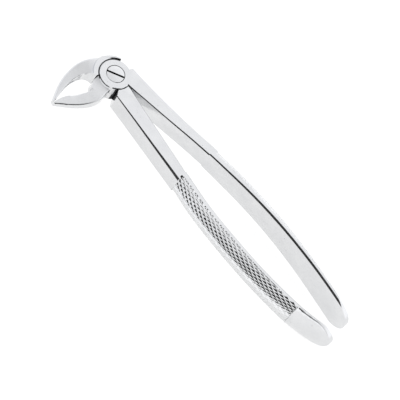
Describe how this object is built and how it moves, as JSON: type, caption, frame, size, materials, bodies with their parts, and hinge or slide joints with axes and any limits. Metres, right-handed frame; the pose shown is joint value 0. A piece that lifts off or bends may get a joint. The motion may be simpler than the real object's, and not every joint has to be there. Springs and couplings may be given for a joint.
{
  "type": "extraction forceps",
  "caption": "Hand forceps with two crossed levers on a screwed lap joint, hooked pointed beaks at right angles to long bowed handles with knurled grips.",
  "frame": {"origin": "hinge axis at the flat back face of the lap joint", "axes": "+Z along the hinge axis towards the screw head, +X along the handles towards their ends, +Y across the handles towards the lever that carries the front disc; the beaks point along -Y"},
  "size_m": [0.1668, 0.0497, 0.017],
  "materials": {
    "front_lever_steel": "satin",
    "rear_lever_steel": "satin",
    "screw_steel": "polished"
  },
  "bodies": {
    "rear_half": {"rear_lever": "rear_lever_steel", "joint_screw": "screw_steel"},
    "front_half": {"front_lever": "front_lever_steel"}
  },
  "joints": [
    {"name": "jaw_hinge", "type": "hinge", "parent": "rear_half", "child": "front_half", "pos_m": [0, 0, 0.0052], "axis": [0, 0, 1], "range_deg": [0, 25]}
  ]
}
